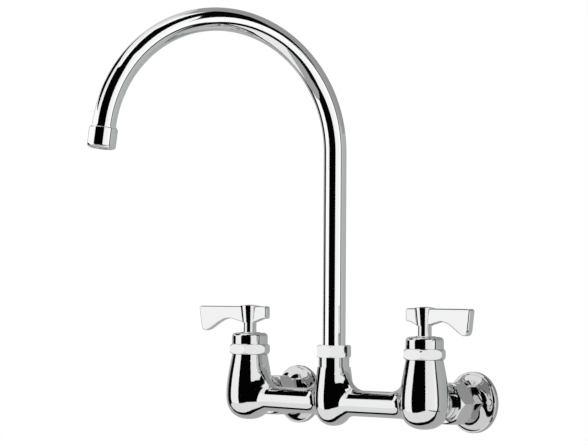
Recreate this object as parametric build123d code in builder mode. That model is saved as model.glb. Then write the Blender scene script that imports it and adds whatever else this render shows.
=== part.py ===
from build123d import *
from math import cos, radians, sin, sqrt
import os

# Wall-mounted two-handle commercial faucet with a swivel gooseneck spout.
# Millimetres. +X runs right along the wall, +Y goes into the wall and +Z is up.
# The origin is midway between the two inlet axes, on the wall plane.

os.makedirs("parts", exist_ok=True)

# ---------------------------------------------------------------- overall places
inlet_spacing = 203.2  # between the two inlet axes
wall_offset = 65.0  # wall plane to the valve axes and the spout axis
spout_rest_angle = 18.2  # the spout points this far left of straight out
lever_rest_angle = 6.5  # each lever stands this far forward of parallel to the wall

# ---------------------------------------------------------------- clearances
running_gap = 0.05  # radial, between turning pieces
face_gap = 0.05  # axial, between turning pieces
thread_gap = 0.1  # radial, between threaded pieces
loose_gap = 0.2  # radial, where a piece only passes through
seal_gap = 0.02  # radial, between a sealing ring and its bore
ring_slack = 0.15  # between a sealing ring and the sides and floor of its groove
cut_margin = 1.0  # how far a cutting shape runs past the surface that it opens
seam_size = 1.0  # an edge smaller than this isn't a seam between two bodies of the casting

# ---------------------------------------------------------------- shared sections
ring_section = 1.4  # section of the small sealing rings
hex_edge = 3.2  # height of the rounded corners on the bonnets' hexagons
hex_face_share = 0.25  # of that height, from the flats in to the edge of the face
hex_bulge_in = 0.25  # the rounding's middle point, as shares of its height
hex_bulge_up = 0.55
hex_crown = 0.15  # how far polishing leaves each flat bulging at its middle

# ---------------------------------------------------------------- valve bodies of the casting
valve_rise = 36.8  # inlet axis up to the rim
valve_drop = 20.4  # inlet axis down to the rounded bottom
valve_rim_radius = 15.6
valve_belly_radius = 20.5
valve_belly_height = 1.5  # widest place, above the inlet axis
valve_bottom_fullness = 0.65  # 0 is a point, 1 is nearly flat

# ---------------------------------------------------------------- centre body of the casting
centre_rise = 28.3
centre_drop = 21.8
centre_rim_radius = 14.2
centre_belly_radius = 17.1
centre_belly_height = 1.0
centre_bottom_fullness = 0.64
shoulder_lean = 1.35  # how much the bodies lean in just under the rim, against their mean lean

# ---------------------------------------------------------------- crossbars and inlet necks
bar_radius = 11.0
bar_drop = 1.6  # bar axis below the inlet axis
bar_fillet = 20.0
neck_radius = 12.5
neck_length = 34.0  # valve axis to the sealing face
neck_fillet = 3.0
waterway_radius = 7.0  # each inlet's way in, and the chamber under each seat
crossway_radius = 6.0  # the way along both crossbars

# ---------------------------------------------------------------- valve chamber
rim_wall = 3.2  # valve rim to the bonnet thread
thread_depth = 12.8  # rim down to the shelf that carries the cartridge
cartridge_bore_radius = 11.0
seat_depth = 31.8  # rim down to the seat
sump_drop = 10.0  # inlet axis down to the floor of the chamber under the seat
riser_radius = 4.0
riser_offset = 13.0
riser_overlap = 8.0  # the riser reaches this far above the seat
gasket_thickness = 0.8
gasket_width = 2.0

# ---------------------------------------------------------------- cartridge
cartridge_wall = 2.4  # bore of the chamber to the disc cavity
cartridge_waist = 1.3  # how far the windows' waist lies inside the bore
disc_thickness = 3.0
seal_thickness = 3.0
seal_width = 1.6
housing_lift = 0.3  # the housing clears the seat by this much
skirt_height = 7.0  # sealed length below the windows
window_width = 7.0
window_height = 7.0
window_count = 4
window_turn = 45.0  # from the drive blade's line to the first window
drive_height = 8.0  # moving disc up to the stem's thrust flange
thrust_flange = 2.0
cartridge_flange = 2.0
bearing_height = 10.0  # bearing above the cartridge's flange
bearing_wall = 3.3
disc_hole_radius = 2.5
disc_hole_offset = 5.0
blade_width = 3.6
blade_inset = 2.4  # cavity wall to the drive blade
slot_depth = 1.4

# ---------------------------------------------------------------- bonnet
bonnet_flats = 32.0
bonnet_hex_height = 9.5
cap_radius = 15.8
cap_height = 10.1
cap_shoulder = 4.0
cap_land_radius = 9.0
cap_land_step = 0.5
cap_fullness = 0.56  # 0 is a chamfer, 1 is a sharp corner

# ---------------------------------------------------------------- stem and lever
stem_radius = 5.7
lever_height = 65.0  # inlet axis up to the underside of the hub
hub_height = 14.9
hub_bottom_radius = 6.9
hub_top_radius = 8.7
square_size = 8.0
square_height = 8.2
screw_radius = 2.0
screw_thread = 6.0
screw_hole_spare = 2.0  # threaded hole past the end of the screw
screw_web = 2.5  # metal between the square socket and the screw head
screw_head_radius = 3.7
screw_head_height = 2.4
screw_drive_radius = 1.7
button_radius = 6.9
button_thickness = 1.8
button_dome = 0.8
lever_reach = 56.3
lever_stub = 20.3
lever_thickness = 6.4
lever_top_drop = 0.5  # blade top below the hub top
lever_root_depth = 11.0  # blade top down to the highest places of its underside
lever_tip_depth = 22.0  # and down to the tip's lowest place
lever_tip_lean = 3.3  # the tip's end slopes in by this much over the tip's depth
lever_tip_round = 5.0  # height of the rounding under the tip's end
lever_tip_inset = 7.3  # lever's end in to the tip's lowest place
lever_crest = 22.0  # hub axis to the highest place of the underside
lever_stub_crest = 17.6  # and on the stub
lever_web_start = 5.0  # hub axis to where the underside leaves the hub
lever_web_lift = 0.3  # height of that place above the hub's foot
lever_tip_handle = 7.0  # reach of the underside's curve handles: under the tip,
lever_crest_handle = 11.0  # outside the crest,
lever_web_handle = 5.0  # inside it and at the hub,
lever_stub_handle = 4.0  # and at the stub's crest
round_handle = 0.55  # handle of a quarter round, as a share of its size
lever_corner = 2.2
lever_edge = 1.3

# ---------------------------------------------------------------- inlet coupling
nut_length = 18.0
nut_flats = 34.0
nut_edge = 4.2  # height of its rounded corners
nut_front = 25.0  # valve axis to the nut's front face
nut_lip = 4.0
inlet_thread_radius = 14.5
snap_ring_width = 2.0
snap_ring_depth = 1.3
snap_ring_split = 3.0
inlet_washer_thickness = 2.0
inlet_washer_bore = 8.0
flange_radius = 25.8
flange_rim = 4.0
flange_dome = 5.0
flange_rim_land = 1.6
flange_rim_edge = 0.6
flange_root_sweep = 2.5  # handle of the dome's curve at the hexagon
flange_root_rise = 1.5
flange_rim_sweep = 3.0  # and at the rim
flange_rim_rise = 1.2
flange_hex_flats = 27.0
flange_hex_length = 10.0
flange_hex_edge = 1.3
pipe_thread_radius = 9.5
pipe_thread_depth = 16.0

# ---------------------------------------------------------------- spout joint
collar_radius = 13.1
collar_height = 8.1
adapter_thread_radius = 11.0
adapter_thread_length = 9.8
swivel_radius = 8.5
swivel_depth = 18.0  # swivel shank below the adapter's top
lower_ring_height = 4.5  # sealing rings, above the shank's foot
upper_ring_height = 10.8
nut_thread_radius = 11.5
nut_thread_length = 2.8
spout_nut_flats = 26.4
spout_nut_height = 10.7
spout_nut_edge = 1.8
spout_nut_turn = 3.0  # the nut stands this far round from square to the spout
swivel_washer = 0.75
swivel_flange = 2.0
swivel_bore = 6.2
upper_washer = 0.9
centre_chamber_drop = 9.0

# ---------------------------------------------------------------- gooseneck
tube_radius = 9.75
tube_wall = 1.5
spout_radius = 107.95  # bend radius, to the tube's centre line
bend_height = 211.7  # inlet axis up to the bend's centre
bend_sweep = 172.6
spigot_length = 10.0
braze_gap = 0.05

# ---------------------------------------------------------------- aerator
tip_ledge = 1.2
tip_ledge_radius = 10.7
tip_thread_radius = 10.1
tip_thread_length = 7.0
tip_spigot = 3.0
aerator_radius = 11.8
aerator_length = 16.6
aerator_wall = 1.6
aerator_lip = 2.2
aerator_edge = 2.4
aerator_top_edge = 0.8
mouth_radius = 8.9
aerator_washer_thickness = 1.6
screen_thickness = 0.5
screen_hole = 0.75
screen_pitch = 2.1
screen_rows = 6
honeycomb_hole = 1.0
honeycomb_pitch = 2.6
honeycomb_rows = 6
insert_recess = 0.9  # the insert's face lies this far inside the mouth

# ---------------------------------------------------------------- derived places
half_spacing = inlet_spacing / 2
hex_sides = 6
hex_quarter = 180 / hex_sides  # turns a hexagon from a corner to a flat
sides = (("left", -1), ("right", 1))
seat_z = valve_rise - seat_depth
shelf_z = valve_rise - thread_depth
bonnet_thread_radius = valve_rim_radius - rim_wall
cavity_radius = cartridge_bore_radius - cartridge_wall
fixed_disc_z = seat_z + seal_thickness
moving_disc_z = fixed_disc_z + disc_thickness + face_gap
disc_top_z = moving_disc_z + disc_thickness
thrust_z = disc_top_z + drive_height
cavity_top_z = thrust_z + thrust_flange + face_gap
cartridge_flange_top = shelf_z + cartridge_flange
bearing_top_z = cartridge_flange_top + bearing_height
bearing_radius = stem_radius + bearing_wall
cap_z = valve_rise + bonnet_hex_height
cap_top_z = cap_z + cap_height
cap_foot = cap_z - cut_margin
cap_handle = cap_shoulder * cap_fullness
hub_top_z = lever_height + hub_height
square_top_z = lever_height + square_height
head_z = square_top_z + screw_web
button_z = hub_top_z - button_thickness
flange_front = neck_length + inlet_washer_thickness
collar_top_z = centre_rise + collar_height
adapter_top_z = collar_top_z + nut_thread_length
swivel_flange_z = adapter_top_z + swivel_washer + face_gap
tube_foot_z = swivel_flange_z + swivel_flange
upper_washer_z = tube_foot_z + face_gap
nut_shoulder_z = upper_washer_z + upper_washer
tube_bore = tube_radius - tube_wall


def upright_plane(x, y, direction):
    """A vertical plane through (x, y): local x along the level direction, local y up."""
    level = Vector(*direction, 0)
    return Plane(origin=(x, y, 0), x_dir=level, z_dir=level.cross(Vector(0, 0, 1)))


def section_plane(x):
    """The plane square to the wall through a vertical axis of the casting."""
    return upright_plane(x, -wall_offset, (0, 1))


def upright_axis(x):
    return Axis((x, -wall_offset, 0), (0, 0, 1))


def level_plane(x, z):
    """A level plane at height z, centred on a vertical axis of the casting."""
    return Plane(origin=(x, -wall_offset, z))


def inlet_plane(x, distance):
    """A plane across an inlet axis, this far from the valve axis towards the wall."""
    return Plane(origin=(x, distance - wall_offset, 0), x_dir=(-1, 0, 0), z_dir=(0, 1, 0))


def add_disc(plane, radius, height, mode=Mode.ADD):
    """A cylinder that stands on the plane."""
    with BuildSketch(plane) as profile:
        Circle(radius)
    extrude(profile.sketch, amount=height, mode=mode)


def add_ring(plane, inner, outer, height, mode=Mode.ADD):
    """A flat ring that stands on the plane."""
    with BuildSketch(plane) as profile:
        Circle(outer)
        Circle(inner, mode=Mode.SUBTRACT)
    extrude(profile.sketch, amount=height, mode=mode)


def add_hexagon(plane, flats, height, edge, turn):
    """A hexagonal prism whose corners are turned down to arcs, as on a lathe-finished nut."""
    corner = flats / sqrt(3)
    bulge = corner - edge * hex_bulge_in
    with BuildSketch(plane) as prism:
        with BuildLine(Rot(0, 0, turn)):
            for facet in range(hex_sides):
                start, middle, end = [Vector(1, 0).rotate(Axis.Z, (facet + share) * 360 / hex_sides)
                                      for share in (0, 0.5, 1)]
                ThreePointArc(start * corner, middle * (flats / 2 + hex_crown), end * corner)
        make_face()
    extrude(prism.sketch, amount=height)
    profile_plane = Plane(origin=plane.origin, x_dir=plane.x_dir, z_dir=-plane.y_dir)
    inner = flats / 2 - edge * hex_face_share
    with BuildSketch(profile_plane) as profile:
        with BuildLine():
            Polyline((inner, height), (0, height), (0, 0), (inner, 0))
            ThreePointArc((inner, 0), (bulge, edge * hex_bulge_up), (corner, edge))
            Line((corner, edge), (corner, height - edge))
            ThreePointArc((corner, height - edge), (bulge, height - edge * hex_bulge_up), (inner, height))
        make_face()
    revolve(profile.sketch, axis=Axis(plane.origin, plane.z_dir), mode=Mode.INTERSECT)


def add_ring_seal(plane, bore):
    """A round-section sealing ring round the plane's axis, inside this bore."""
    middle = bore - seal_gap - ring_section / 2
    with BuildSketch(Plane(origin=plane.origin, x_dir=plane.x_dir, z_dir=-plane.y_dir)) as profile:
        with Locations((middle, 0)):
            Circle(ring_section / 2)
    revolve(profile.sketch, axis=Axis(plane.origin, plane.z_dir))


def cut_ring_groove(plane, bore):
    """The groove for that ring in the shaft inside the bore; the plane is at its middle."""
    width = ring_section + 2 * ring_slack
    floor = bore - seal_gap - ring_section - ring_slack
    start = Plane(origin=plane.origin - plane.z_dir * (width / 2), x_dir=plane.x_dir, z_dir=plane.z_dir)
    add_ring(start, floor, bore + cut_margin, width, Mode.SUBTRACT)


def add_pear(x, rise, drop, rim, belly, belly_height, fullness):
    """One rounded vertical body of the casting, round its own axis."""
    depth = drop + belly_height
    lead = (rise - belly_height) / 3
    lean = (belly - rim) / (rise - belly_height) * shoulder_lean
    with BuildSketch(section_plane(x)) as profile:
        with BuildLine():
            Bezier((0, -drop), (fullness * belly, -drop), (belly, belly_height - fullness * depth),
                   (belly, belly_height))
            Bezier((belly, belly_height), (belly, belly_height + lead), (rim + lean * lead, rise - lead),
                   (rim, rise))
            Polyline((rim, rise), (0, rise), (0, -drop))
        make_face()
    revolve(profile.sketch, axis=upright_axis(x))


# ================================================================ the casting
with BuildPart() as mixing_body:
    for x in (-half_spacing, half_spacing):
        add_pear(x, valve_rise, valve_drop, valve_rim_radius, valve_belly_radius,
                 valve_belly_height, valve_bottom_fullness)
    add_pear(0, centre_rise, centre_drop, centre_rim_radius, centre_belly_radius,
             centre_belly_height, centre_bottom_fullness)
    bar_start = Plane(origin=(-half_spacing, -wall_offset, -bar_drop), x_dir=(0, 1, 0), z_dir=(1, 0, 0))
    add_disc(bar_start, bar_radius, inlet_spacing)

    # cast roundings where the crossbars run into the three bodies
    fillet(mixing_body.new_edges.filter_by(lambda edge: edge.bounding_box().size.X > seam_size), bar_fillet)

    for side, sign in sides:
        x = sign * half_spacing
        add_disc(inlet_plane(x, 0), neck_radius, neck_length)
        neck_end = inlet_plane(x, neck_length).origin.Y - seam_size
        neck_root = mixing_body.new_edges.filter_by(lambda edge: edge.bounding_box().max.Y < neck_end)
        fillet(neck_root.filter_by(lambda edge: edge.bounding_box().size.X > seam_size), neck_fillet)
        add_ring(inlet_plane(x, nut_front + nut_lip), neck_radius - snap_ring_depth,
                 neck_radius + cut_margin, snap_ring_width + face_gap, Mode.SUBTRACT)

    # waterways: along both crossbars, and from each inlet up past the cartridge
    add_disc(bar_start, crossway_radius, inlet_spacing, Mode.SUBTRACT)
    for side, sign in sides:
        x = sign * half_spacing
        add_disc(level_plane(x, -sump_drop), waterway_radius, sump_drop + seat_z, Mode.SUBTRACT)
        add_disc(level_plane(x, seat_z), cartridge_bore_radius, seat_depth, Mode.SUBTRACT)
        add_disc(level_plane(x, shelf_z), bonnet_thread_radius, thread_depth, Mode.SUBTRACT)
        add_disc(level_plane(x, valve_rise - gasket_thickness), bonnet_thread_radius + gasket_width,
                 gasket_thickness, Mode.SUBTRACT)
        add_disc(inlet_plane(x, riser_offset), waterway_radius, neck_length - riser_offset, Mode.SUBTRACT)
        riser_foot = Plane(origin=(x, riser_offset - wall_offset, -waterway_radius / 2))
        add_disc(riser_foot, riser_radius, seat_z + waterway_radius / 2 + riser_overlap, Mode.SUBTRACT)

    # spout chamber
    add_disc(level_plane(0, -centre_chamber_drop), swivel_radius, centre_chamber_drop + centre_rise,
             Mode.SUBTRACT)
    add_disc(level_plane(0, centre_rise - adapter_thread_length), adapter_thread_radius + thread_gap,
             adapter_thread_length, Mode.SUBTRACT)
    add_disc(level_plane(0, centre_rise - gasket_thickness), adapter_thread_radius + gasket_width,
             gasket_thickness, Mode.SUBTRACT)
mixing_body.part.label = "mixing_body"
export_step(mixing_body.part, "parts/mixing_body.step")


# ================================================================ the two valves
for side, sign in sides:
    x = sign * half_spacing

    with BuildPart() as seat_seal:
        seal_outer = cavity_radius - thread_gap
        add_ring(level_plane(x, seat_z), seal_outer - seal_width, seal_outer, seal_thickness)
    seat_seal.part.label = f"{side}_seat_seal"
    export_step(seat_seal.part, f"parts/{side}_seat_seal.step")

    with BuildPart() as fixed_disc:
        add_disc(level_plane(x, fixed_disc_z), cavity_radius - thread_gap, disc_thickness)
        with BuildSketch(level_plane(x, fixed_disc_z)):
            with PolarLocations(disc_hole_offset, 2, start_angle=0):
                Circle(disc_hole_radius)
        extrude(amount=disc_thickness, mode=Mode.SUBTRACT)
    fixed_disc.part.label = f"{side}_fixed_disc"
    export_step(fixed_disc.part, f"parts/{side}_fixed_disc.step")

    drive_width = 2 * (cavity_radius - blade_inset)
    with BuildPart() as moving_disc:
        add_disc(level_plane(x, moving_disc_z), cavity_radius - loose_gap, disc_thickness)
        with BuildSketch(level_plane(x, moving_disc_z)):
            with PolarLocations(disc_hole_offset, 2, start_angle=90):
                Circle(disc_hole_radius)
        extrude(amount=disc_thickness, mode=Mode.SUBTRACT)
        with BuildSketch(level_plane(x, disc_top_z - slot_depth)):
            Rectangle(drive_width + 2 * face_gap, blade_width + 2 * face_gap)
        extrude(amount=slot_depth, mode=Mode.SUBTRACT)
    moving_disc.part.label = f"{side}_moving_disc"
    export_step(moving_disc.part, f"parts/{side}_moving_disc.step")

    # housing: sealed skirt, windowed waist, flange clamped by the bonnet, bearing for the stem
    housing_z = seat_z + housing_lift
    waist_z = housing_z + skirt_height
    housing_radius = cartridge_bore_radius - thread_gap
    with BuildPart() as cartridge_housing:
        add_disc(level_plane(x, housing_z), housing_radius, shelf_z - housing_z)
        add_disc(level_plane(x, shelf_z), bonnet_thread_radius - loose_gap, cartridge_flange)
        add_disc(level_plane(x, cartridge_flange_top), bearing_radius, bearing_height)
        add_ring(level_plane(x, waist_z), cartridge_bore_radius - cartridge_waist, housing_radius,
                 shelf_z - cartridge_flange - waist_z, Mode.SUBTRACT)
        add_disc(level_plane(x, housing_z), cavity_radius, cavity_top_z - housing_z, Mode.SUBTRACT)
        add_disc(level_plane(x, cavity_top_z), stem_radius + running_gap, bearing_top_z - cavity_top_z,
                 Mode.SUBTRACT)
        with BuildSketch(level_plane(x, disc_top_z)):
            with PolarLocations(cavity_radius, window_count, start_angle=window_turn):
                Rectangle(2 * cartridge_wall, window_width)
        extrude(amount=window_height, mode=Mode.SUBTRACT)
        cut_ring_groove(level_plane(x, housing_z + skirt_height / 2), cartridge_bore_radius)
    cartridge_housing.part.label = f"{side}_cartridge_housing"
    export_step(cartridge_housing.part, f"parts/{side}_cartridge_housing.step")

    with BuildPart() as cartridge_ring:
        add_ring_seal(level_plane(x, housing_z + skirt_height / 2), cartridge_bore_radius)
    cartridge_ring.part.label = f"{side}_cartridge_seal_ring"
    export_step(cartridge_ring.part, f"parts/{side}_cartridge_seal_ring.step")

    with BuildPart() as bonnet_gasket:
        add_ring(level_plane(x, valve_rise - gasket_thickness), bonnet_thread_radius + thread_gap,
                 bonnet_thread_radius + gasket_width - thread_gap, gasket_thickness)
    bonnet_gasket.part.label = f"{side}_bonnet_gasket"
    export_step(bonnet_gasket.part, f"parts/{side}_bonnet_gasket.step")

    # bonnet: threaded skirt, hexagon with rounded corners, and a smooth round cap
    with BuildPart() as bonnet:
        add_hexagon(level_plane(x, valve_rise), bonnet_flats, bonnet_hex_height, hex_edge, 0)
        with BuildSketch(section_plane(x)):
            with BuildLine():
                Polyline((cap_radius, cap_top_z - cap_shoulder), (cap_radius, cap_foot), (0, cap_foot),
                         (0, cap_top_z), (cap_land_radius, cap_top_z),
                         (cap_land_radius + cap_land_step, cap_top_z - cap_land_step),
                         (cap_radius - cap_shoulder, cap_top_z - cap_land_step))
                Bezier((cap_radius - cap_shoulder, cap_top_z - cap_land_step),
                       (cap_radius - cap_shoulder + cap_handle, cap_top_z - cap_land_step),
                       (cap_radius, cap_top_z - cap_shoulder + cap_handle),
                       (cap_radius, cap_top_z - cap_shoulder))
            make_face()
        revolve(axis=upright_axis(x))
        add_disc(level_plane(x, cartridge_flange_top), bonnet_thread_radius - thread_gap,
                 valve_rise - cartridge_flange_top)
        add_disc(level_plane(x, cartridge_flange_top), bearing_radius + loose_gap,
                 bearing_height + loose_gap, Mode.SUBTRACT)
        add_disc(level_plane(x, cartridge_flange_top), stem_radius + loose_gap,
                 cap_top_z - cartridge_flange_top, Mode.SUBTRACT)
    bonnet.part.label = f"{side}_bonnet"
    export_step(bonnet.part, f"parts/{side}_bonnet.step")

    # stem: drive blade, thrust flange, round journal, and the square that carries the lever
    lever_direction = (sign * cos(radians(lever_rest_angle)), -sin(radians(lever_rest_angle)))
    lever_plane = upright_plane(x, -wall_offset, lever_direction)
    square_turn = -sign * lever_rest_angle
    seal_height = cartridge_flange_top + bearing_height / 2
    with BuildPart() as valve_stem:
        add_disc(level_plane(x, thrust_z), cavity_radius - loose_gap, thrust_flange)
        add_disc(level_plane(x, thrust_z), stem_radius, lever_height - thrust_z)
        with BuildSketch(level_plane(x, disc_top_z - slot_depth + face_gap)):
            Rectangle(drive_width, blade_width)
        extrude(amount=thrust_z - disc_top_z + slot_depth - face_gap)
        with BuildSketch(level_plane(x, lever_height)):
            Rectangle(square_size, square_size, rotation=square_turn)
        extrude(amount=square_height)
        hole_depth = screw_thread + screw_hole_spare
        add_disc(level_plane(x, square_top_z - hole_depth), screw_radius + running_gap, hole_depth,
                 Mode.SUBTRACT)
        cut_ring_groove(level_plane(x, seal_height), stem_radius + running_gap)
    valve_stem.part.label = f"{side}_valve_stem"
    export_step(valve_stem.part, f"parts/{side}_valve_stem.step")

    with BuildPart() as stem_ring:
        add_ring_seal(level_plane(x, seal_height), stem_radius + running_gap)
    stem_ring.part.label = f"{side}_stem_seal_ring"
    export_step(stem_ring.part, f"parts/{side}_stem_seal_ring.step")

    # lever: one flat blade with a drooping tip, a short counter stub and a tapered hub
    blade_top = hub_top_z - lever_top_drop
    root_z = blade_top - lever_root_depth
    tip_z = blade_top - lever_tip_depth
    web_z = lever_height + lever_web_lift
    lever_lowest = lever_reach - lever_tip_inset
    end_slope = lever_tip_lean / lever_tip_depth
    round_top = lever_reach - lever_tip_lean + end_slope * lever_tip_round
    round_reach = round_handle * (round_top - lever_lowest)
    round_drop = round_handle * lever_tip_round
    with BuildPart() as lever:
        with BuildSketch(lever_plane):
            with BuildLine():
                Polyline((-lever_web_start, web_z), (lever_web_start, web_z))
                Bezier((lever_web_start, web_z), (lever_web_start + lever_web_handle, web_z),
                       (lever_crest - lever_web_handle, root_z), (lever_crest, root_z))
                Bezier((lever_crest, root_z), (lever_crest + lever_crest_handle, root_z),
                       (lever_lowest - lever_tip_handle, tip_z), (lever_lowest, tip_z))
                Bezier((lever_lowest, tip_z), (lever_lowest + round_reach, tip_z),
                       (round_top - end_slope * round_drop, tip_z + lever_tip_round - round_drop),
                       (round_top, tip_z + lever_tip_round))
                Polyline((round_top, tip_z + lever_tip_round), (lever_reach, blade_top),
                         (-lever_stub, blade_top), (-lever_stub, root_z), (-lever_stub_crest, root_z))
                Bezier((-lever_stub_crest, root_z), (-lever_stub_crest + lever_stub_handle, root_z),
                       (-lever_web_start - lever_web_handle, web_z), (-lever_web_start, web_z))
            outline = make_face()
            corners = outline.vertices().sort_by(Axis.X)
            fillet(corners[:2] + corners[-1:], lever_corner)
        extrude(amount=lever_thickness / 2, both=True)
        fillet(lever.edges().filter_by(lever_plane), lever_edge)
        with BuildSketch(lever_plane):
            with BuildLine():
                Polyline((0, lever_height), (hub_bottom_radius, lever_height),
                         (hub_top_radius, hub_top_z), (0, hub_top_z), (0, lever_height))
            make_face()
        revolve(axis=upright_axis(x))
        with BuildSketch(level_plane(x, lever_height)):
            Rectangle(square_size + 2 * face_gap, square_size + 2 * face_gap, rotation=square_turn)
        extrude(amount=square_height, mode=Mode.SUBTRACT)
        add_disc(level_plane(x, square_top_z), screw_radius + loose_gap, screw_web, Mode.SUBTRACT)
        add_disc(level_plane(x, head_z), screw_head_radius + loose_gap, button_z - head_z, Mode.SUBTRACT)
        add_disc(level_plane(x, button_z), button_radius + face_gap, button_thickness, Mode.SUBTRACT)
    lever.part.label = f"{side}_lever"
    export_step(lever.part, f"parts/{side}_lever.step")

    with BuildPart() as lever_screw:
        add_disc(level_plane(x, square_top_z - screw_thread), screw_radius, screw_thread + screw_web)
        add_disc(level_plane(x, head_z), screw_head_radius, screw_head_height)
        with BuildSketch(level_plane(x, head_z + screw_head_height / 2)):
            RegularPolygon(screw_drive_radius, hex_sides)
        extrude(amount=screw_head_height / 2, mode=Mode.SUBTRACT)
    lever_screw.part.label = f"{side}_lever_screw"
    export_step(lever_screw.part, f"parts/{side}_lever_screw.step")

    with BuildPart() as index_button:
        with BuildSketch(section_plane(x)):
            with BuildLine():
                Polyline((button_radius, hub_top_z), (button_radius, button_z), (0, button_z),
                         (0, hub_top_z + button_dome))
                TangentArc((0, hub_top_z + button_dome), (button_radius, hub_top_z), tangent=(1, 0))
            make_face()
        revolve(axis=upright_axis(x))
    index_button.part.label = f"{side}_index_button"
    export_step(index_button.part, f"parts/{side}_index_button.step")


# ================================================================ the two inlet couplings
for side, sign in sides:
    x = sign * half_spacing

    with BuildPart() as coupling_nut:
        add_hexagon(inlet_plane(x, nut_front), nut_flats, nut_length, nut_edge, hex_quarter)
        add_disc(inlet_plane(x, nut_front), neck_radius + loose_gap, nut_lip, Mode.SUBTRACT)
        add_disc(inlet_plane(x, nut_front + nut_lip), inlet_thread_radius + thread_gap,
                 nut_length - nut_lip, Mode.SUBTRACT)
    coupling_nut.part.label = f"{side}_coupling_nut"
    export_step(coupling_nut.part, f"parts/{side}_coupling_nut.step")

    # split ring that the nut's lip pulls on
    with BuildPart() as snap_ring:
        ring_inner = neck_radius - snap_ring_depth + running_gap
        ring_outer = inlet_thread_radius - loose_gap
        with BuildSketch(inlet_plane(x, nut_front + nut_lip)):
            Circle(ring_outer)
            Circle(ring_inner, mode=Mode.SUBTRACT)
            with Locations((0, -ring_outer)):
                Rectangle(snap_ring_split, 2 * ring_outer, mode=Mode.SUBTRACT)
        extrude(amount=snap_ring_width)
    snap_ring.part.label = f"{side}_snap_ring"
    export_step(snap_ring.part, f"parts/{side}_snap_ring.step")

    with BuildPart() as inlet_washer:
        add_ring(inlet_plane(x, neck_length), inlet_washer_bore, inlet_thread_radius - loose_gap,
                 inlet_washer_thickness)
    inlet_washer.part.label = f"{side}_inlet_washer"
    export_step(inlet_washer.part, f"parts/{side}_inlet_washer.step")

    # wall flange: threaded shank, hexagon, domed disc, and the pipe thread in its back
    hex_front = wall_offset - flange_rim - flange_dome - flange_hex_length
    with BuildPart() as inlet_flange:
        add_hexagon(inlet_plane(x, hex_front), flange_hex_flats, wall_offset - hex_front,
                    flange_hex_edge, hex_quarter)
        add_disc(inlet_plane(x, flange_front), inlet_thread_radius, hex_front - flange_front)
        with BuildSketch(Plane(origin=(x, 0, 0))):
            dome_start = flange_hex_flats / 2
            dome_end = flange_radius - flange_rim_land
            rim_front = -flange_rim
            dome_front = -flange_rim - flange_dome
            with BuildLine():
                Bezier((dome_start, dome_front),
                       (dome_start + flange_root_sweep, rim_front - flange_root_rise),
                       (dome_end - flange_rim_sweep, rim_front - flange_rim_rise),
                       (dome_end, rim_front))
                Polyline((dome_end, rim_front), (flange_radius - flange_rim_edge, rim_front),
                         (flange_radius, rim_front + flange_rim_edge), (flange_radius, 0), (0, 0),
                         (0, dome_front), (dome_start, dome_front))
            make_face()
        revolve(axis=Axis((x, 0, 0), (0, 1, 0)))
        add_disc(inlet_plane(x, flange_front), waterway_radius, wall_offset - flange_front, Mode.SUBTRACT)
        add_disc(inlet_plane(x, wall_offset - pipe_thread_depth), pipe_thread_radius, pipe_thread_depth,
                 Mode.SUBTRACT)
    inlet_flange.part.label = f"{side}_inlet_flange"
    export_step(inlet_flange.part, f"parts/{side}_inlet_flange.step")


# ================================================================ the spout's swivel joint
with BuildPart() as adapter_gasket:
    add_ring(level_plane(0, centre_rise - gasket_thickness), adapter_thread_radius + thread_gap,
             adapter_thread_radius + gasket_width - thread_gap, gasket_thickness)
adapter_gasket.part.label = "adapter_gasket"
export_step(adapter_gasket.part, "parts/adapter_gasket.step")

swivel_bore_radius = swivel_radius + running_gap
with BuildPart() as spout_adapter:
    adapter_foot = centre_rise - adapter_thread_length
    add_disc(level_plane(0, adapter_foot), adapter_thread_radius, adapter_thread_length)
    add_disc(level_plane(0, centre_rise), collar_radius, collar_height)
    add_disc(level_plane(0, collar_top_z), nut_thread_radius, nut_thread_length)
    add_disc(level_plane(0, adapter_foot), swivel_bore_radius, adapter_top_z - adapter_foot, Mode.SUBTRACT)
spout_adapter.part.label = "spout_adapter"
export_step(spout_adapter.part, "parts/spout_adapter.step")

with BuildPart() as lower_swivel_washer:
    add_ring(level_plane(0, adapter_top_z), swivel_radius + loose_gap, nut_thread_radius, swivel_washer)
lower_swivel_washer.part.label = "lower_swivel_washer"
export_step(lower_swivel_washer.part, "parts/lower_swivel_washer.step")

with BuildPart() as upper_swivel_washer:
    add_ring(level_plane(0, upper_washer_z), tube_radius + loose_gap, nut_thread_radius, upper_washer)
upper_swivel_washer.part.label = "upper_swivel_washer"
export_step(upper_swivel_washer.part, "parts/upper_swivel_washer.step")

with BuildPart() as spout_nut:
    add_hexagon(level_plane(0, collar_top_z), spout_nut_flats, spout_nut_height, spout_nut_edge,
                spout_nut_turn - spout_rest_angle)
    add_disc(level_plane(0, collar_top_z), nut_thread_radius + thread_gap, nut_shoulder_z - collar_top_z,
             Mode.SUBTRACT)
    add_disc(level_plane(0, collar_top_z), tube_radius + loose_gap, spout_nut_height, Mode.SUBTRACT)
spout_nut.part.label = "spout_nut"
export_step(spout_nut.part, "parts/spout_nut.step")

# swivel shank: turns in the adapter, held down by its flange, brazed into the tube's foot
shank_foot = adapter_top_z - swivel_depth
ring_heights = (shank_foot + lower_ring_height, shank_foot + upper_ring_height)
with BuildPart() as spout_shank:
    add_disc(level_plane(0, shank_foot), swivel_radius, swivel_flange_z - shank_foot)
    add_disc(level_plane(0, swivel_flange_z), nut_thread_radius - thread_gap, swivel_flange)
    add_disc(level_plane(0, tube_foot_z), tube_bore - braze_gap, spigot_length)
    add_disc(level_plane(0, shank_foot), swivel_bore, tube_foot_z + spigot_length - shank_foot,
             Mode.SUBTRACT)
    for height in ring_heights:
        cut_ring_groove(level_plane(0, height), swivel_bore_radius)
spout_shank.part.label = "spout_shank"
export_step(spout_shank.part, "parts/spout_shank.step")

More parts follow.
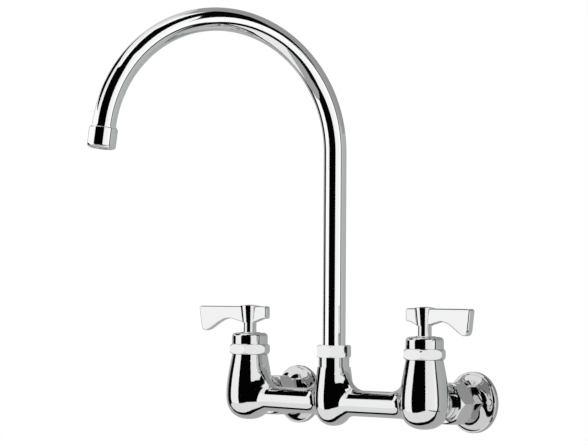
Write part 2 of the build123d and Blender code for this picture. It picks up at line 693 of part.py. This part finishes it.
with BuildPart() as spout_rings:
    for height in ring_heights:
        add_ring_seal(level_plane(0, height), swivel_bore_radius)
spout_rings.part.label = "spout_seal_rings"
export_step(spout_rings.part, "parts/spout_seal_rings.step")


# ================================================================ the gooseneck
spout_turn = radians(spout_rest_angle)
spout_plane = upright_plane(0, -wall_offset, (-sin(spout_turn), -cos(spout_turn)))
with BuildPart() as gooseneck_tube:
    with BuildLine(spout_plane) as spout_path:
        riser_line = Line((0, tube_foot_z), (0, bend_height))
        JernArc(riser_line @ 1, (0, 1), spout_radius, -bend_sweep)
    with BuildSketch(level_plane(0, tube_foot_z)):
        Circle(tube_radius)
        Circle(tube_bore, mode=Mode.SUBTRACT)
    sweep(path=spout_path.wire())
gooseneck_tube.part.label = "gooseneck_tube"
export_step(gooseneck_tube.part, "parts/gooseneck_tube.step")


# ================================================================ the aerator
tube_end = spout_path.wire() @ 1
outflow = spout_path.wire() % 1
outflow_axis = Axis(tube_end, outflow)


def tip_plane(distance):
    """A plane across the outlet, this far past the tube's end."""
    return Plane(origin=tube_end + outflow * distance, x_dir=spout_plane.z_dir, z_dir=outflow)


thread_end = tip_ledge + tip_thread_length
insert_start = thread_end + aerator_washer_thickness + screen_thickness
aerator_end = tip_ledge + aerator_length
mouth_start = aerator_end - aerator_lip
bucket_radius = aerator_radius - aerator_wall

with BuildPart() as spout_tip:
    add_disc(tip_plane(-tip_spigot), tube_bore - braze_gap, tip_spigot)
    add_disc(tip_plane(0), tip_ledge_radius, tip_ledge)
    add_disc(tip_plane(tip_ledge), tip_thread_radius, tip_thread_length)
    add_disc(tip_plane(-tip_spigot), swivel_bore, tip_spigot + thread_end, Mode.SUBTRACT)
spout_tip.part.label = "spout_tip"
export_step(spout_tip.part, "parts/spout_tip.step")

with BuildPart() as aerator_housing:
    add_disc(tip_plane(tip_ledge), aerator_radius, aerator_length)
    fillet(aerator_housing.edges().filter_by(GeomType.CIRCLE).sort_by(outflow_axis).last, aerator_edge)
    fillet(aerator_housing.edges().filter_by(GeomType.CIRCLE).sort_by(outflow_axis).first,
           aerator_top_edge)
    add_disc(tip_plane(tip_ledge), bucket_radius, mouth_start - tip_ledge, Mode.SUBTRACT)
    add_disc(tip_plane(tip_ledge), mouth_radius, aerator_length, Mode.SUBTRACT)
aerator_housing.part.label = "aerator_housing"
export_step(aerator_housing.part, "parts/aerator_housing.step")

with BuildPart() as aerator_washer:
    add_ring(tip_plane(thread_end), swivel_bore, bucket_radius - thread_gap, aerator_washer_thickness)
aerator_washer.part.label = "aerator_washer"
export_step(aerator_washer.part, "parts/aerator_washer.step")

with BuildPart() as aerator_screen:
    screen_plane = tip_plane(thread_end + aerator_washer_thickness)
    add_disc(screen_plane, bucket_radius - thread_gap, screen_thickness)
    with BuildSketch(screen_plane):
        with HexLocations(screen_pitch / 2, screen_rows, screen_rows):
            Circle(screen_hole)
    extrude(amount=screen_thickness, mode=Mode.SUBTRACT)
aerator_screen.part.label = "aerator_screen"
export_step(aerator_screen.part, "parts/aerator_screen.step")

with BuildPart() as aerator_insert:
    add_disc(tip_plane(insert_start), bucket_radius - thread_gap, mouth_start - insert_start)
    add_disc(tip_plane(mouth_start), mouth_radius - thread_gap, aerator_lip - insert_recess)
    with BuildSketch(tip_plane(insert_start)):
        with HexLocations(honeycomb_pitch / 2, honeycomb_rows, honeycomb_rows):
            RegularPolygon(honeycomb_hole, hex_sides)
    extrude(amount=aerator_end - insert_start, mode=Mode.SUBTRACT)
aerator_insert.part.label = "aerator_insert"
export_step(aerator_insert.part, "parts/aerator_insert.step")
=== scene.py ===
"""Looks, lights and camera for the commercial wall faucet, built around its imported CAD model.

Everything is in metres in the row frame: +X right along the wall, +Y into the wall, +Z up.
"""

import math

import bpy
from mathutils import Matrix, Vector

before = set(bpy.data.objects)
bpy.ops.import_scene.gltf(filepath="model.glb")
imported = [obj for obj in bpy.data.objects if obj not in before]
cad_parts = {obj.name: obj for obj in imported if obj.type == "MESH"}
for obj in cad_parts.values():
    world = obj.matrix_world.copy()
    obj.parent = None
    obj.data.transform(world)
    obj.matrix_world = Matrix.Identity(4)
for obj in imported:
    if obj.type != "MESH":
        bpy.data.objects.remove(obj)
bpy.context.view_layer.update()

# ---------------------------------------------------------------- camera values
CAMERA_PLACE = (1.31114, -1.48222, 0.09266)
CAMERA_AZIMUTH = math.radians(43.81)
CAMERA_PITCH = math.radians(1.80)
CAMERA_ROLL = math.radians(0.35)
FOCAL_PIXELS = 2255.81
IMAGE_WIDTH = 588
SENSOR_WIDTH = 36.0  # millimetres

# ---------------------------------------------------------------- finish values
# Scales are in cells per metre and depths in metres.
CHROME_GREEN = 1.004  # green and blue of the plate, as shares of its tint
CHROME_BLUE = 1.008
CHROME_SMEAR_SCALE = 140.0
CHROME_GRAIN_SCALE = 5200.0
CHROME_GRAIN_STRENGTH = 0.15
CHROME_GRAIN_DEPTH = 0.000002
MACHINED_TONE_SCALE = 220.0
MACHINED_POLISH_SCALE = 900.0
MACHINED_RING_SCALE = 2600.0
MACHINED_RING_STRETCH = (0.06, 0.06, 1.0)
MACHINED_RING_STRENGTH = 0.5
MACHINED_RING_DEPTH = 0.00001
MOULDED_TONE_SCALE = 180.0
MOULDED_POLISH_SCALE = 400.0
MOULDED_SKIN_STRENGTH = 0.4

# ---------------------------------------------------------------- studio values
STUDIO_CENTRE = Vector((0.0, -0.065, 0.06))
WHITE = (1.0, 1.0, 1.0, 1.0)
AMBIENT = (0.62, 0.62, 0.62, 1.0)
KEY_PLACE = Vector((-1.1, -1.5, 1.9))
KEY_SIZE = 1.6
KEY_POWER = 24.0

FLOOR_HEIGHT = -0.28
FLOOR_RADIUS = 14.0
FLOOR_RINGS = 24
FLOOR_SIDES = 96
FLOOR_SHADOW_RADIUS = 1.2  # within it the floor is lit
FLOOR_FADE_RADIUS = 2.6  # and past this it looks plain white
FLOOR_ROUGHNESS = 0.9
FLOOR_SPECKLE_SCALE = 300.0
FLOOR_DARK = (0.89, 0.89, 0.88, 1)
FLOOR_LIGHT = (0.91, 0.91, 0.90, 1)

# Far cards round the object, which only the chrome shows. Each has the degrees of its lower and upper edge
# above the horizon, and columns of two values: degrees to the picture's right of the direction towards the
# camera, and shade from 0 black to 255 white.
FAR_CARDS = {
    "front_flag": (-28, 49, [(-62, 3), (4, 3)]),
    "top_flag": (43, 74, [(-40, 5), (82, 5)]),
    "corner_flag": (24, 46, [(45, 5), (73, 8)]),
    "softbox": (-28, 46, [(4, 240), (40, 245), (50, 253), (58, 255)]),
    "softbox_edge": (-22, 22, [(58, 190), (60, 15), (65, 20), (67, 170)]),
    "right_wall": (-28, 14, [(66, 180), (130, 170), (180, 170)]),
    "top_wall": (14, 90, [(66, 155), (130, 145), (190, 150)]),
    "bars_flag": (24, 50, [(-138, 3), (-92, 3)]),
    "left_sky": (24, 90, [(-170, 195), (-150, 205), (-110, 235), (-60, 240)]),
    "left_wing": (-28, 12, [(-134, 10), (-105, 8)]),
    "left_back": (-28, 24, [(-180, 178), (-134, 178)]),
    "foot_flag": (-39, -19, [(-24, 5), (78, 5)]),
    "left_bowl": (-46, -28, [(-180, 150), (4, 160)]),
    "right_bowl": (-46, -28, [(4, 160), (80, 150), (110, 130), (180, 140)]),
    "bowl": (-89, -46, [(-180, 150), (0, 162), (90, 145), (180, 140)]),
}
CARD_REACH = 1.6
FLAG_REACH = 1.5  # flags hang in front of the other cards
CARD_STEP = 3.0  # degrees between a far card's columns and rows, at most
CARD_TINT = 0.97  # tint of the chrome in which a card's shade looks as it is written
PLAIN_TONE = (1.0, 1.0, 1.0)
RIGHT_TONE = (0.97, 1.02, 1.01)  # the cards on the right are slightly cool
SHADE_ATTRIBUTE = "shade"

# The table under the castings, which has a light front, a grey back and a black line between them.
TABLE_HEIGHT = -0.100
TABLE_LINE = [(-0.36, -0.130), (-0.105, -0.084), (0.105, -0.085), (0.36, -0.010)]
TABLE_LINE_WIDTH = 0.036
TABLE_LINE_RISE = 0.001
TABLE_FRONT = -0.275
TABLE_BACK = 0.25
TABLE_FRONT_SHADE = 232
TABLE_BACK_SHADE = 176
TABLE_LINE_SHADE = 3

# Sockets of Blender's Mix node that hold colours, which share their names with its other sockets.
MIX_COLOUR_A = 6
MIX_COLOUR_B = 7
MIX_COLOUR_RESULT = 2


# ---------------------------------------------------------------- materials
class Shader:
    """One node material, with its Principled shader and short ways to add the nodes that this script uses."""

    def __init__(self, name):
        self.material = bpy.data.materials.new(name)
        self.material.use_nodes = True
        self.tree = self.material.node_tree
        self.surface = self.tree.nodes["Principled BSDF"]
        self.place = self.tree.nodes.new("ShaderNodeTexCoord").outputs["Object"]

    def set(self, **values):
        """Sets sockets of the Principled shader by name, with _ for a space."""
        for name, value in values.items():
            self.surface.inputs[name.replace("_", " ")].default_value = value

    def link(self, source, target):
        self.tree.links.new(source, target)

    def drive(self, **sources):
        """Links sockets of the Principled shader by name, with _ for a space."""
        for name, source in sources.items():
            self.link(source, self.surface.inputs[name.replace("_", " ")])

    def noise(self, scale, detail=3.0, roughness=0.55, stretch=(1.0, 1.0, 1.0)):
        """A noise over the object's own coordinates, scale in cells per metre."""
        mapping = self.tree.nodes.new("ShaderNodeMapping")
        mapping.inputs["Scale"].default_value = stretch
        self.link(self.place, mapping.inputs["Vector"])
        node = self.tree.nodes.new("ShaderNodeTexNoise")
        node.inputs["Scale"].default_value = scale
        node.inputs["Detail"].default_value = detail
        node.inputs["Roughness"].default_value = roughness
        self.link(mapping.outputs["Vector"], node.inputs["Vector"])
        return node.outputs["Fac"]

    def between(self, source, low, high, start=0.3, end=0.7):
        """Maps a texture's range from start to end onto low to high."""
        node = self.tree.nodes.new("ShaderNodeMapRange")
        node.inputs["From Min"].default_value = start
        node.inputs["From Max"].default_value = end
        node.inputs["To Min"].default_value = low
        node.inputs["To Max"].default_value = high
        self.link(source, node.inputs["Value"])
        return node.outputs["Result"]

    def tones(self, source, dark, light, start=0.3, end=0.7):
        """A colour over a texture, dark up to start and light from end."""
        node = self.tree.nodes.new("ShaderNodeValToRGB")
        stops = node.color_ramp.elements
        stops[0].position, stops[0].color = start, dark
        stops[1].position, stops[1].color = end, light
        self.link(source, node.inputs["Fac"])
        return node.outputs["Color"]

    def bump(self, source, strength, depth, below=None):
        """Relief of that depth in metres on the surface, over an earlier relief if there is one."""
        node = self.tree.nodes.new("ShaderNodeBump")
        node.inputs["Strength"].default_value = strength
        node.inputs["Distance"].default_value = depth
        self.link(source, node.inputs["Height"])
        if below is not None:
            self.link(below, node.inputs["Normal"])
        return node.outputs["Normal"]


def chrome(name, tint, polish, haze, wave_depth, wave_scale):
    """Bright chrome plate: a slow waviness from the casting or drawing under it, and haze from handling. Its
    tint carries painted light and shade, set part by part.
    """
    shader = Shader(name)
    shader.set(Base_Color=(tint, tint * CHROME_GREEN, tint * CHROME_BLUE, 1.0), Metallic=1.0)
    smear = shader.noise(CHROME_SMEAR_SCALE, detail=6.0, roughness=0.65)
    waves = shader.noise(wave_scale, detail=1.0)
    grain = shader.noise(CHROME_GRAIN_SCALE, detail=2.0)
    slow = shader.bump(waves, 1.0, wave_depth)
    fine = shader.bump(grain, CHROME_GRAIN_STRENGTH, CHROME_GRAIN_DEPTH, below=slow)
    shader.drive(Roughness=shader.between(smear, polish, haze), Normal=fine)
    return shader.material


def machined(name, dark, light, polish, haze):
    """Bare machined metal, with fine tool rings across its axis and a patchy tone."""
    shader = Shader(name)
    shader.set(Metallic=1.0)
    tone = shader.noise(MACHINED_TONE_SCALE, detail=5.0)
    patches = shader.noise(MACHINED_POLISH_SCALE, detail=3.0)
    turned = shader.noise(MACHINED_RING_SCALE, detail=1.0, stretch=MACHINED_RING_STRETCH)
    shader.drive(
        Base_Color=shader.tones(tone, dark, light),
        Roughness=shader.between(patches, polish, haze),
        Normal=shader.bump(turned, MACHINED_RING_STRENGTH, MACHINED_RING_DEPTH),
    )
    return shader.material


def moulded(name, dark, light, polish, haze, grain=1500.0, depth=0.00002, **values):
    """A moulded or pressed material with a fine skin grain and a slight change of tone."""
    shader = Shader(name)
    shader.set(**values)
    tone = shader.noise(MOULDED_TONE_SCALE, detail=6.0, roughness=0.6)
    patches = shader.noise(MOULDED_POLISH_SCALE)
    skin = shader.noise(grain, detail=4.0)
    shader.drive(
        Base_Color=shader.tones(tone, dark, light, start=0.32, end=0.68),
        Roughness=shader.between(patches, polish, haze),
        Normal=shader.bump(skin, MOULDED_SKIN_STRENGTH, depth),
    )
    return shader.material


def button_paint(name, dark, light):
    """The glossy colour of an index button, under a clear coat."""
    return moulded(name, dark, light, 0.08, 0.18, depth=0.000006, Coat_Weight=0.5)


def dress_nodes():
    """Gives each CAD node its own chrome, or else the material of its slot in the record."""
    # One plating has one tint, but these tints differ part by part as painted light and shade: the tube's
    # plate is painted brighter, the levers' a little brighter and the flanges' darker.
    cast = chrome("cast_chrome", 0.84, 0.025, 0.055, wave_depth=0.00002, wave_scale=60.0)
    turned = chrome("turned_chrome", 0.84, 0.03, 0.06, wave_depth=0.000008, wave_scale=120.0)
    tube = chrome("tube_chrome", 0.97, 0.02, 0.045, wave_depth=0.00001, wave_scale=40.0)
    lever = chrome("lever_chrome", 0.88, 0.05, 0.10, wave_depth=0.00003, wave_scale=80.0)
    flange = chrome("flange_chrome_painted_dark", 0.70, 0.03, 0.07, wave_depth=0.000015, wave_scale=80.0)
    slot_materials = {
        "chrome": turned,
        "brass": machined("brass", (0.66, 0.47, 0.20, 1), (0.83, 0.66, 0.34, 1), 0.18, 0.34),
        "steel": machined("steel", (0.58, 0.58, 0.58, 1), (0.74, 0.74, 0.75, 1), 0.16, 0.30),
        "ceramic": moulded(
            "ceramic", (0.86, 0.85, 0.81, 1), (0.94, 0.93, 0.90, 1), 0.10, 0.22, depth=0.000004
        ),
        "rubber": moulded("rubber", (0.025, 0.025, 0.028, 1), (0.06, 0.06, 0.062, 1), 0.45, 0.65),
        "fibre": moulded(
            "fibre", (0.40, 0.12, 0.08, 1), (0.62, 0.25, 0.17, 1), 0.75, 0.95, grain=700.0, depth=0.00006
        ),
        "nylon": moulded("nylon", (0.84, 0.84, 0.79, 1), (0.93, 0.93, 0.89, 1), 0.35, 0.50),
        "outlet_plastic": moulded(
            "outlet_plastic", (0.50, 0.51, 0.52, 1), (0.64, 0.65, 0.66, 1), 0.30, 0.45
        ),
        "hot_button": button_paint("hot_button", (0.55, 0.035, 0.03, 1), (0.76, 0.07, 0.055, 1)),
        "cold_button": button_paint("cold_button", (0.03, 0.09, 0.46, 1), (0.055, 0.15, 0.64, 1)),
    }
    node_materials = {
        "mixing_body": cast,
        "left_inlet_flange": flange,
        "right_inlet_flange": flange,
        "gooseneck_tube": tube,
        "aerator_housing": tube,
        "spout_tip": tube,
        "left_lever": lever,
        "right_lever": lever,
    }
    for name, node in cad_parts.items():
        for slot in node.material_slots:
            packed_name = slot.material.name.split(".")[0]
            slot.material = node_materials.get(name, slot_materials[packed_name])


# ---------------------------------------------------------------- world and floor
def seen_directly(tree):
    """A socket that is 1 for what the camera, metal and glass see, and 0 for other light."""
    path = tree.nodes.new("ShaderNodeLightPath")
    total = path.outputs["Is Camera Ray"]
    for kind in ("Is Glossy Ray", "Is Transmission Ray"):
        either = tree.nodes.new("ShaderNodeMath")
        either.operation = "MAXIMUM"
        tree.links.new(total, either.inputs[0])
        tree.links.new(path.outputs[kind], either.inputs[1])
        total = either.outputs["Value"]
    return total


def light_world():
    """A plain ambient light, which looks white to the camera and in the chrome."""
    world = bpy.data.worlds.new("studio_world")
    bpy.context.scene.world = world
    world.use_nodes = True
    tree = world.node_tree
    background = tree.nodes["Background"]
    ambient_or_white = tree.nodes.new("ShaderNodeMix")
    ambient_or_white.data_type = "RGBA"
    tree.links.new(seen_directly(tree), ambient_or_white.inputs["Factor"])
    ambient_or_white.inputs[MIX_COLOUR_A].default_value = AMBIENT
    ambient_or_white.inputs[MIX_COLOUR_B].default_value = WHITE
    tree.links.new(ambient_or_white.outputs[MIX_COLOUR_RESULT], background.inputs["Color"])
    background.inputs["Strength"].default_value = 1.0


def floor_look():
    """A pale speckled floor that keeps the object's shadow, and fades to plain white far from it."""
    shader = Shader("studio_floor")
    shader.set(Roughness=FLOOR_ROUGHNESS)
    speckle = shader.noise(FLOOR_SPECKLE_SCALE, detail=4.0)
    shader.drive(Base_Color=shader.tones(speckle, FLOOR_DARK, FLOOR_LIGHT))
    away = shader.tree.nodes.new("ShaderNodeVectorMath")
    away.operation = "LENGTH"
    shader.link(shader.place, away.inputs[0])
    far = shader.between(away.outputs["Value"], 0.0, 1.0, FLOOR_SHADOW_RADIUS, FLOOR_FADE_RADIUS)
    fade = shader.tree.nodes.new("ShaderNodeMath")
    fade.operation = "MULTIPLY"
    shader.link(far, fade.inputs[0])
    shader.link(seen_directly(shader.tree), fade.inputs[1])
    white = shader.tree.nodes.new("ShaderNodeEmission")
    white.inputs["Color"].default_value = WHITE
    mixed = shader.tree.nodes.new("ShaderNodeMixShader")
    shader.link(fade.outputs["Value"], mixed.inputs["Fac"])
    shader.link(shader.surface.outputs["BSDF"], mixed.inputs[1])
    shader.link(white.outputs["Emission"], mixed.inputs[2])
    shader.link(mixed.outputs["Shader"], shader.tree.nodes["Material Output"].inputs["Surface"])
    return shader.material


def lay_floor():
    """The floor, a level disc whose rings are closer together near the object."""
    points = [(0.0, 0.0, FLOOR_HEIGHT)]
    faces = []
    for ring in range(1, FLOOR_RINGS + 1):
        for side in range(FLOOR_SIDES):
            angle = math.tau * side / FLOOR_SIDES
            reach = FLOOR_RADIUS * (ring / FLOOR_RINGS) ** 2
            points.append((reach * math.cos(angle), reach * math.sin(angle), FLOOR_HEIGHT))
    for side in range(FLOOR_SIDES):
        faces.append((0, 1 + side, 1 + (side + 1) % FLOOR_SIDES))
    for ring in range(FLOOR_RINGS - 1):
        inner = 1 + ring * FLOOR_SIDES
        outer = inner + FLOOR_SIDES
        for side in range(FLOOR_SIDES):
            after = (side + 1) % FLOOR_SIDES
            faces.append((inner + side, outer + side, outer + after, inner + after))
    mesh = bpy.data.meshes.new("studio_floor")
    mesh.from_pydata(points, [], faces)
    mesh.materials.append(floor_look())
    floor = bpy.data.objects.new("studio_floor", mesh)
    bpy.context.scene.collection.objects.link(floor)
    floor.visible_glossy = False


# ---------------------------------------------------------------- cards and lamp
def linear(shade):
    """The linear value of a shade from 0 to 255, by the sRGB curve."""
    share = shade / 255
    return share / 12.92 if share <= 0.04045 else ((share + 0.055) / 1.055) ** 2.4


def card_look():
    """A glow of the mesh's own shade on the side that the faces turn to, and nothing on the other."""
    material = bpy.data.materials.new("studio_card")
    material.use_nodes = True
    tree = material.node_tree
    tree.nodes.remove(tree.nodes["Principled BSDF"])
    glow = tree.nodes.new("ShaderNodeEmission")
    shade = tree.nodes.new("ShaderNodeAttribute")
    shade.attribute_name = SHADE_ATTRIBUTE
    tree.links.new(shade.outputs["Color"], glow.inputs["Color"])
    sides = tree.nodes.new("ShaderNodeNewGeometry")
    clear = tree.nodes.new("ShaderNodeBsdfTransparent")
    either = tree.nodes.new("ShaderNodeMixShader")
    tree.links.new(sides.outputs["Backfacing"], either.inputs["Fac"])
    tree.links.new(glow.outputs["Emission"], either.inputs[1])
    tree.links.new(clear.outputs["BSDF"], either.inputs[2])
    tree.links.new(either.outputs["Shader"], tree.nodes["Material Output"].inputs["Surface"])
    return material


def add_card(name, points, faces, shades):
    """A card that only the chrome sees, on the side its faces turn to, with a shade at each point."""
    mesh = bpy.data.meshes.new(name)
    mesh.from_pydata(points, [], faces)
    mesh.attributes.new(SHADE_ATTRIBUTE, "FLOAT_COLOR", "POINT").data.foreach_set("color", shades)
    mesh.materials.append(card_material)
    card = bpy.data.objects.new(name, mesh)
    bpy.context.scene.collection.objects.link(card)
    card.visible_camera = False
    card.visible_diffuse = False
    card.visible_transmission = False
    card.visible_shadow = False


def outward(azimuth):
    """The level direction that many degrees to the picture's right of the direction towards the camera."""
    turn = CAMERA_AZIMUTH + math.radians(azimuth)
    return Vector((math.sin(turn), -math.cos(turn), 0.0))


def spread(stops):
    """Columns at most a step apart along the stops, each with its shade in linear light."""
    columns = []
    for (start, first), (end, last) in zip(stops, stops[1:]):
        count = max(1, round((end - start) / CARD_STEP))
        for index in range(count):
            share = index / count
            columns.append((start + (end - start) * share, linear(first + (last - first) * share)))
    columns.append((stops[-1][0], linear(stops[-1][1])))
    return columns


def far_card(name, reach, low, high, stops, tone):
    """A card that faces in, on a sphere round the studio's centre, from its edges and its columns."""
    columns = spread(stops)
    rows = max(1, round((high - low) / CARD_STEP))
    points = []
    shades = []
    for row in range(rows + 1):
        rise = math.radians(low + (high - low) * row / rows)
        for azimuth, value in columns:
            direction = outward(azimuth) * math.cos(rise) + Vector((0.0, 0.0, math.sin(rise)))
            points.append(STUDIO_CENTRE + reach * direction)
            shades += [value * share / CARD_TINT for share in tone] + [1.0]
    width = len(columns)
    faces = []
    for row in range(rows):
        for column in range(width - 1):
            below = row * width + column
            above = below + width
            faces.append((below, above, above + 1, below + 1))
    add_card(name, points, faces, shades)


def level_card(name, height, shade, corners):
    """A level card of one shade that faces up if its corners run anticlockwise from above."""
    value = linear(shade) / CARD_TINT
    points = [(x, y, height) for x, y in corners]
    add_card(name, points, [tuple(range(len(points)))], [value, value, value, 1.0] * len(points))


def hang_far_cards():
    """All the far cards, flags in front."""
    for name, (low, high, stops) in FAR_CARDS.items():
        reach = FLAG_REACH if name.endswith("flag") else CARD_REACH
        tone = RIGHT_TONE if name.startswith("right") else PLAIN_TONE
        far_card("card_" + name, reach, low, high, stops, tone)


def lay_table():
    """The table's light front and grey back, which meet along the middle of its black line."""
    left_end, right_end = TABLE_LINE[0][0], TABLE_LINE[-1][0]
    front = [(left_end, TABLE_FRONT), (right_end, TABLE_FRONT), *reversed(TABLE_LINE)]
    back = [*TABLE_LINE, (right_end, TABLE_BACK), (left_end, TABLE_BACK)]
    half_line = TABLE_LINE_WIDTH / 2
    edges = [[(x, y + side * half_line) for x, y in TABLE_LINE] for side in (-1, 1)]
    line = [*edges[0], *reversed(edges[1])]
    level_card("card_table_front", TABLE_HEIGHT, TABLE_FRONT_SHADE, front)
    level_card("card_table_back", TABLE_HEIGHT, TABLE_BACK_SHADE, back)
    level_card("card_table_line", TABLE_HEIGHT + TABLE_LINE_RISE, TABLE_LINE_SHADE, line)


def hang_key_lamp():
    """One soft square lamp above the left, which the chrome doesn't show."""
    lamp = bpy.data.lights.new("key_lamp", "AREA")
    lamp.shape = "SQUARE"
    lamp.size = KEY_SIZE
    lamp.energy = KEY_POWER
    key = bpy.data.objects.new("key_lamp", lamp)
    bpy.context.scene.collection.objects.link(key)
    key.location = KEY_PLACE
    key.rotation_mode = "QUATERNION"
    key.rotation_quaternion = (STUDIO_CENTRE - KEY_PLACE).to_track_quat("-Z", "Y")
    key.visible_glossy = False


# ---------------------------------------------------------------- camera
def set_camera():
    """The camera at the photograph's place and angle."""
    data = bpy.data.cameras.new("camera")
    data.sensor_fit = "HORIZONTAL"
    data.sensor_width = SENSOR_WIDTH
    data.lens = FOCAL_PIXELS / IMAGE_WIDTH * SENSOR_WIDTH
    camera = bpy.data.objects.new("camera", data)
    bpy.context.scene.collection.objects.link(camera)
    camera.matrix_world = (
        Matrix.Translation(CAMERA_PLACE)
        @ Matrix.Rotation(CAMERA_AZIMUTH, 4, "Z")
        @ Matrix.Rotation(math.pi / 2 + CAMERA_PITCH, 4, "X")
        @ Matrix.Rotation(CAMERA_ROLL, 4, "Z")
    )
    bpy.context.scene.camera = camera


# ---------------------------------------------------------------- the scene
dress_nodes()
light_world()
lay_floor()
card_material = card_look()
hang_far_cards()
lay_table()
hang_key_lamp()
set_camera()
bpy.context.scene.view_settings.view_transform = "Standard"
